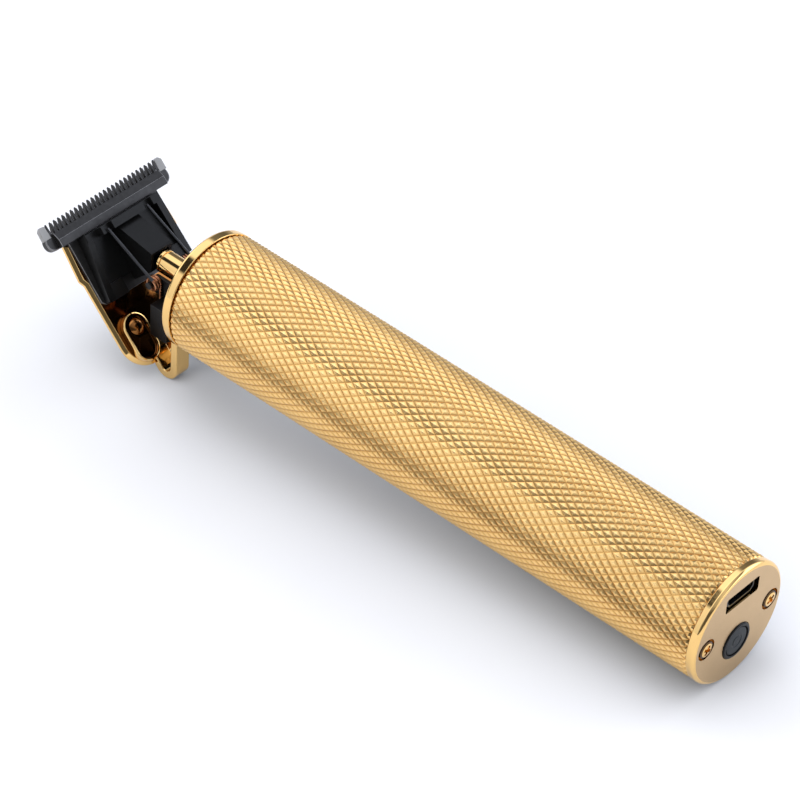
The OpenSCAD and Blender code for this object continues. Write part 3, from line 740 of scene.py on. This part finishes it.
def torsion_spring(side, name):
    a0, a1 = 180 + 360 * COIL_TURNS, 90 + ARM_ANGLE
    coil = []
    for i in range(COIL_STEPS + 1):
        a = math.radians(a0 + (a1 - a0) * i / COIL_STEPS)
        coil.append(Vector((COIL_X + COIL_R * math.cos(a), COIL_Y0 + (ARM_Y - COIL_Y0) * i / COIL_STEPS,
                            COIL_Z + COIL_R * math.sin(a))))
    slope = math.radians(ARM_ANGLE)
    path = [coil[0] - Vector((0, 0, SHORT_ARM)), *coil,
            coil[-1] + ARM_LEN * Vector((math.cos(slope), 0, math.sin(slope)))]
    wire = sweep(name, path, WIRE_R)
    if side < 0:
        wire.data.transform(Matrix.Diagonal((1, -1, 1, 1)))
        wire.data.flip_normals()
    for face in wire.data.polygons:
        face.material_index = 1 if face.center.x > COIL_X + COIL_R + 1 else 0
    place(shaded(wire, 60), name + "_look", BODY, "body", [COPPER, DARK_STEEL_AND_PIN_SHADE], name)


# ---------------------------------------------------------------- hooks and plate
PAD_Y = 8.1
PAD_R = 2.95
PAD_X0 = -33.2
PAD_X1 = -23
STRAP_Y0 = 3.5
STRAP_Y1 = 7.1
STRAP_T = 1.7
BEND_R = 3
BEND_X = 3.7
PLATE_END = -34
TONGUE_END = -29
FOOT_TOP = -4.2
FOOT_Z = -6.3
DOME_X = -25.9
DOME_Y = 7.6
LIP_RISE = 1.3
PAD_WALL = 0.58
HOOK_SCREW_HEAD_R = 1.6
HOOK_SCREW_HEAD_T = 0.9
HOOK_SCREW_END = 8.4
HOOK_SCREW_TURN = 25


def stadium(inset, h):
    r = PAD_R - inset
    ring = arc(PAD_X1 - PAD_R, PAD_Y, r, -90, 90, 20) + arc(PAD_X0 + PAD_R, PAD_Y, r, 90, 270, 20)
    return [(x, y, h) for x, y in ring]


def hook(side, name):
    """Cupped pad, tongue, bend under the body and leg up into the nose cap, as one bent piece."""
    lip = PLATE_TOP + LIP_RISE
    section = [(0.12, PLATE_TOP), (0, PLATE_TOP + 0.12), (0, lip - 0.3), (0.09, lip - 0.09), (0.3, lip),
               (0.51, lip - 0.09), (0.6, lip - 0.3), (0.62, lip - 0.6), (0.7, lip - 0.74), (0.9, lip - 0.8)]
    pad = loft("pad", [stadium(inset, h) for inset, h in section])
    slope = math.radians(BLADE_ANGLE)
    bend_z = TIP_RISE + (PLATE_LOW + BEND_R + (BEND_X - TIP_REACH) * math.sin(slope)) / math.cos(slope)
    bend_s = (BEND_X - TIP_REACH) * math.cos(slope) + (bend_z - TIP_RISE) * math.sin(slope)
    bend_h = PLATE_LOW + BEND_R
    leg = 180 - BLADE_ANGLE
    up = Vector((math.sin(slope), math.cos(slope))) * (FOOT_TOP - bend_z)
    ends = [Vector(arc(bend_s, bend_h, r, leg, leg, 1)[0]) + up for r in (BEND_R, BEND_R - STRAP_T)]
    profile = [(TONGUE_END, PLATE_LOW + STRAP_T), (TONGUE_END, PLATE_TOP), (PLATE_END, PLATE_TOP),
               (PLATE_END, PLATE_LOW), *arc(bend_s, bend_h, BEND_R, 270, leg, 24), *[tuple(e) for e in ends],
               *arc(bend_s, bend_h, BEND_R - STRAP_T, leg, 270, 24)]
    strap = softened(side_prism("strap", profile, STRAP_Y0, STRAP_Y1), 0.28, 3, 50)
    boolean(strap, [pad], "UNION")
    if side < 0:
        strap.data.transform(Matrix.Diagonal((1, -1, 1, 1)))
        strap.data.flip_normals()
    # faces inside the pad's cupped hollow get the dark brown gold: painted shade inside the cup
    for face in strap.data.polygons:
        x, y, h = face.center
        off = math.hypot(x - min(max(x, PAD_X0 + PAD_R), PAD_X1 - PAD_R), abs(y) - PAD_Y)
        face.material_index = 1 if off < PAD_R - PAD_WALL and PLATE_TOP + 0.1 < h < lip - 0.4 else 0
    place(shaded(strap), name + "_look", BLADE, "body", [POLISHED, PAINTED_SHADE_GOLD], name)


def pad_screws():
    foot, rim, shank_r, dome_r = PLATE_LOW + 0.1, PLATE_TOP + 0.6, 0.8, 2.25
    dome = [(foot, 0), (foot, shank_r), (rim, shank_r), (rim, 1.72)]
    dome += [(rim - 1.45 + y, x) for x, y in arc(0, 0, dome_r, 42, 90, 12)][:-1]
    dome.append((PLATE_TOP + 1.4, 0))
    screws = []
    for side in (-1, 1):
        screw = lathe("dome", dome, 48)
        screw.data.transform(Matrix.Translation((DOME_X, side * DOME_Y, 0))
                             @ Matrix.Rotation(math.radians(-90), 4, "Y"))
        screws.append(tidy_normals(screw))
    # the domed screws are all dark brown gold: painted shade, as they sit down in the pad hollows
    place(shaded(joined("domes", screws), 50), "pad_screws_look", BLADE, "body", [PAINTED_SHADE_GOLD], "pad_screws")


def slotted_screw(name, x, turn):
    """Cheese-head screw along X with a cut slot; x is the head's outer face."""
    head_r, under = HOOK_SCREW_HEAD_R, x + HOOK_SCREW_HEAD_T
    profile = rounded([(x, 0, 0), (x, head_r, 0.3), (under, head_r, 0), (under, SCREW_SHANK_R, 0),
                       (HOOK_SCREW_END, SCREW_SHANK_R, 0), (HOOK_SCREW_END, 0, 0)], closed=False)
    screw = lathe(name, profile, 48)
    slot_half, slot_depth = 0.35, 0.5
    slot = block("slot", (x - 1, -slot_half, -head_r - 1), (x + slot_depth, slot_half, head_r + 1))
    boolean(screw, [slot], "DIFFERENCE")
    softened(merged(screw, 0.05), 0.06, angle=50)
    screw.data.transform(Matrix.Rotation(math.radians(turn), 4, "X"))
    return screw


def hook_screws():
    face = BEND_X - BEND_R + STRAP_T
    screws = []
    for side in (-1, 1):
        screw = slotted_screw("hook_screw", -face - HOOK_SCREW_HEAD_T, HOOK_SCREW_TURN * side)
        screw.data.transform(Matrix.Translation((0, side * (STRAP_Y0 + STRAP_Y1) / 2, FOOT_Z))
                             @ Matrix.Rotation(math.pi, 4, "Z"))
        screws.append(screw)
    place(joined("hook_screws", screws), "hook_screws_look", BODY, "body", [POLISHED], "hook_screws")


def blade_plate():
    """Gold plate with a straight front, a waist at its sides and round rear corners."""
    half = [(BAR_BACK, 12.7), (-13, 13.3), (-14.2, 12.7)] + arc(-28.3, 6.7, 5.8, 90, 170, 16)
    half.append((PLATE_END, 7.3))
    outline = half + [(x, -y) for x, y in reversed(half)]
    plate = prism("plate", outline, PLATE_LOW, PLATE_TOP)
    bm = bmesh.new()
    bm.from_mesh(plate.data)
    upper = [e for e in bm.edges if all(abs(v.co.z - PLATE_TOP) < 0.01 for v in e.verts)]
    bmesh.ops.bevel(bm, geom=upper, offset=PLATE_CHAMFER, segments=1, affect="EDGES")
    bm.to_mesh(plate.data)
    bm.free()
    softened(plate, 0.1, 2, 30)
    # the plate's flat upper face gets the dark brown gold: painted shade under the blades
    for face in plate.data.polygons:
        face.material_index = 1 if face.normal.z > 0.99 and face.center.z > PLATE_TOP - 0.05 else 0
    place(plate, "blade_plate_look", BLADE, "body", [POLISHED, PAINTED_SHADE_GOLD], "blade_plate")


# ---------------------------------------------------------------- blades
def tooth(y, root, tip, half_root, half_tip, low_root, low_tip, top):
    """One tapered tooth with a rounded point, from (root) to (tip), thinner towards the tip."""
    rings = []
    for share, round_off in ((0, 1), (0.5, 1), (0.9, 1), (0.97, 0.8), (1, 0.45)):
        x = root + (tip - root) * share
        half = (half_root + (half_tip - half_root) * share) * round_off
        low = low_root + (low_tip - low_root) * share
        low = top + (low - top) * (0.6 + 0.4 * round_off)
        chamfer = 0.25 * half
        rings.append([(x, y - half, low + chamfer), (x, y - half + chamfer, low),
                      (x, y + half - chamfer, low), (x, y + half, low + chamfer),
                      (x, y + half, top), (x, y - half, top)])
    return loft("tooth", rings)


def fixed_blade():
    corner = 1.6
    ends = rounded([(BAR_BACK, 0, 0), (BAR_BACK, BAR_HALF, corner), (BAR_FRONT, BAR_HALF, corner),
                    (BAR_FRONT, 0, 0)], closed=False, steps=8)
    outline = ends + [(x, -y) for x, y in reversed(ends[1:-1])]
    # the rounded edges of the bar and the tail take the lighter edge grey: partly wear, partly painted highlight
    bar = softened(prism("bar", outline, BAR_LOW, 0), 0.25, 3, 50, 1)
    end, half, cut = FIXED_TAIL_END, FIXED_TAIL_HALF, 0.8
    tail = softened(prism("tail", [(end, cut - half), (end + cut, -half), (BAR_BACK + 1, -half),
                                   (BAR_BACK + 1, half), (end + cut, half), (end, half - cut)],
                          PLATE_TOP, 0), 0.08, 2, 50, 1)
    parts = [bar, tail]
    for i in range(-SIDE_TEETH, SIDE_TEETH + 1):
        parts.append(tooth(i * TOOTH_PITCH, BAR_FRONT - 0.5, 0, 0.30, 0.11, -1.25, -0.35, 0))
    blade = joined("fixed", parts)
    place(shaded(blade), "fixed_blade_look", BLADE, "body", [BLADE_COAT, BLADE_EDGE_HIGHLIGHT], "fixed_blade")
    # the blunt outermost teeth, in bare grey
    end_y = (SIDE_TEETH + 1) * TOOTH_PITCH
    root = BAR_FRONT - 0.9
    outline = rounded([(root, end_y - 0.95, 0), (-0.15, end_y - 0.75, 0.3), (0, end_y + 0.25, 0.35),
                       (-0.6, end_y + 0.9, 0.4), (root, end_y + 0.95, 0)])
    end = softened(prism("end_tooth", outline, -1, 0.02), 0.12, 2, 50)
    pair = joined("end_teeth", [mirrored(end, "other_end"), end])
    piece = place(shaded(pair), "end_teeth_look", BLADE, "body", [END_GREY])


def moving_blade():
    """Ridged bar with its teeth, and the flat tongue behind it."""
    front = -2.2
    profile = rounded([(BAR_BACK, MOVING_LOW, 0), (front, MOVING_LOW, 0), (front, 0.5, 0.12),
                       (RIDGE_X, MOVING_TOP, 0.1), (BAR_BACK, MOVING_TOP, 0.12)], steps=3)
    bar = softened(side_prism("bar", profile, -MOVING_HALF, MOVING_HALF), 0.14, 2, 50, 1)
    # the ridge's top faces also get the lighter edge grey: a painted highlight line along the ridge, partly
    # coating wear
    for face in bar.data.polygons:
        ridge = abs(face.center.x - RIDGE_X) < 0.2 and face.center.z > MOVING_TOP - 0.2
        face.material_index = 1 if ridge else face.material_index
    tongue = block("tongue", (-12, -8.5, MOVING_LOW), (BAR_BACK + 0.01, 8.5, 0.6))
    parts = [bar, softened(tongue, 0.08, 2, 50, 1)]
    for i in range(1 - SIDE_TEETH, SIDE_TEETH):
        parts.append(tooth(i * TOOTH_PITCH, -2.5, -0.25, 0.26, 0.11, 0.45, 0.3, MOVING_LOW))
    place(shaded(joined("moving", parts)), "moving_blade_look", BLADE, "carriage", [BLADE_COAT, BLADE_EDGE_HIGHLIGHT],
          "moving_blade")


def moulded(node, matrix, body, width):
    """A moulded black part: the CAD shape with its edges rounded and painted slightly lighter, a painted highlight
    along them.
    """
    ob = softened(from_cad(node, matrix), width, 2, 32, 1)
    place(ob, node + "_look", matrix, body, [BLACK, BLACK_EDGE_HIGHLIGHT], node)


knurled_sleeve()
front_ring()
rear_cap()
rear_cap_screws()
power_button()
drive_hub()
torsion_spring(1, "torsion_spring_left")
torsion_spring(-1, "torsion_spring_right")
hook(1, "hook_left")
hook(-1, "hook_right")
pad_screws()
hook_screws()
blade_plate()
fixed_blade()
moving_blade()
moulded("blade_carriage", BLADE, "carriage", 0.16)
moulded("spring_holder", BODY, "body", 0.2)
moulded("nose_cap", BODY, "body", 0.15)


# ---------------------------------------------------------------- floor, lights and camera
def floor():
    size = 6
    mesh = bpy.data.meshes.new("floor")
    corners = [(-size, -size, 0), (size, -size, 0), (size, size, 0), (-size, size, 0)]
    mesh.from_pydata(corners, [], [(0, 1, 2, 3)])
    ob = bpy.data.objects.new("floor", mesh)
    scene.collection.objects.link(ob)
    s = Shader("floor_white", Specular_IOR_Level=0.2)
    s.colour(s.ramp(s.noise(0.02, 2), [(0.3, (0.86, 0.86, 0.87)), (0.7, (0.88, 0.88, 0.88))]))
    s.roughness(s.ranged(s.noise(0.05, 2), 0.55, 0.65))
    ob.data.materials.append(s.material)


def softbox(name, towards, distance, size, level):
    """Rectangular light facing the middle of the object, its width along X, that lights only what is matt."""
    away = Vector(towards).normalized()
    wide = (Vector((1, 0, 0)) - away * away.x).normalized()
    light = bpy.data.lights.new(name, "AREA")
    light.shape = "RECTANGLE"
    light.size, light.size_y = size
    light.energy = level * math.pi * size[0] * size[1]
    light.color = FILL_TINT
    ob = bpy.data.objects.new(name, light)
    scene.collection.objects.link(ob)
    ob.matrix_world = Matrix.Translation(away * distance) \
        @ Matrix((wide, away.cross(wide), away)).transposed().to_4x4()
    ob.visible_glossy = False


# brightness of the studio by angle round the X axis, in degrees from +Y over the top to -Y; each row
# takes over from the one before it between two values of the direction's X
SKY = [
    ((-1, -1), [(0, 0.12), (36, 0.12), (55, 0.5), (90, 0.8), (112, 0.5), (126, 0.22), (138, 2.4),
                (160, 2.4), (180, 0.9)]),
    ((-0.03, 0.05), [(0, 0.34), (12, 0.38), (34, 1.1), (55, 1.6), (75, 1.9), (110, 1.7), (135, 0.9),
                     (180, 0.6)]),
    ((0.24, 0.34), [(0, 0.95), (44, 1.10), (52, 0.03), (76, 0.03), (84, 1.35), (122, 1.35),
                    (134, 0.20), (162, 0.15), (180, 0.45)]),
    ((0.60, 0.70), [(0, 0.25), (16, 0.30), (44, 1.5), (110, 1.7), (140, 0.9), (180, 0.6)]),
]
SKY_TINT = (1.0, 1.06, 1.20)
FILL_TINT = (1.0, 0.91, 0.76)


def studio():
    """Soft bands of light around the object, as from large diffusers with dark gaps between them."""
    world = bpy.data.worlds.new("studio")
    scene.world = world
    world.use_nodes = True
    tree = world.node_tree

    def node(kind, **inputs):
        made = tree.nodes.new(kind)
        for key, value in inputs.items():
            socket = made.inputs[int(key[1:])]
            if isinstance(value, bpy.types.NodeSocket):
                tree.links.new(value, socket)
            else:
                socket.default_value = value
        return made

    def bands(stops):
        made = node("ShaderNodeValToRGB", _0=share)
        ramp = made.color_ramp
        ramp.interpolation = "EASE"
        while len(ramp.elements) < len(stops):
            ramp.elements.new(0.5)
        for element, (angle, level) in zip(ramp.elements, stops):
            element.position = angle / 180
            element.color = (*scaled(SKY_TINT, level), 1)
        return made.outputs["Color"]

    direction = node("ShaderNodeSeparateXYZ", _0=tree.nodes.new("ShaderNodeTexCoord").outputs["Generated"])
    angle = node("ShaderNodeMath", _0=direction.outputs["Z"], _1=direction.outputs["Y"])
    angle.operation = "ARCTAN2"
    share = node("ShaderNodeMath", _0=angle.outputs["Value"], _1=math.pi).outputs["Value"]
    share.node.operation = "DIVIDE"
    light = bands(SKY[0][1])
    for (start, end), stops in SKY[1:]:
        share_of_next = node("ShaderNodeMapRange", _0=direction.outputs["X"], _1=start, _2=end,
                             _3=0.0, _4=1.0)
        mix = tree.nodes.new("ShaderNodeMix")
        mix.data_type = "RGBA"
        tree.links.new(share_of_next.outputs["Result"], mix.inputs["Factor"])
        tree.links.new(light, mix.inputs[6])
        tree.links.new(bands(stops), mix.inputs[7])
        light = mix.outputs[2]
    tree.links.new(light, tree.nodes["Background"].inputs["Color"])


def camera():
    """Camera at the viewing angle: azimuth, elevation and roll in degrees, aimed close to the middle."""
    azimuth, elevation, roll = map(math.radians, (221.709, 38.85, 0.303))
    distance = 0.69891
    aim = Vector((0.001667, -0.00094, 0.018749))
    back = Vector((math.sin(azimuth) * math.cos(elevation), -math.cos(azimuth) * math.cos(elevation),
                   math.sin(elevation)))
    level = Vector((math.cos(azimuth), math.sin(azimuth), 0))
    right = level * math.cos(roll) + back.cross(level) * math.sin(roll)
    data = bpy.data.cameras.new("camera")
    data.sensor_width = 36
    data.lens = 169.75
    data.clip_start = 0.01
    ob = bpy.data.objects.new("camera", data)
    scene.collection.objects.link(ob)
    ob.matrix_world = Matrix.Translation(aim + back * distance) \
        @ Matrix((right, back.cross(right), back)).transposed().to_4x4()
    scene.camera = ob


floor()
softbox("fill", (0, 0, 1), 1.0, (1.5, 1.5), 0.50)
softbox("front_fill", (-0.3, 0.8, 0.42), 1.0, (1.5, 1.0), 0.95)
studio()
scene.cycles.caustics_reflective = False
camera()
scene.view_settings.view_transform = "Standard"
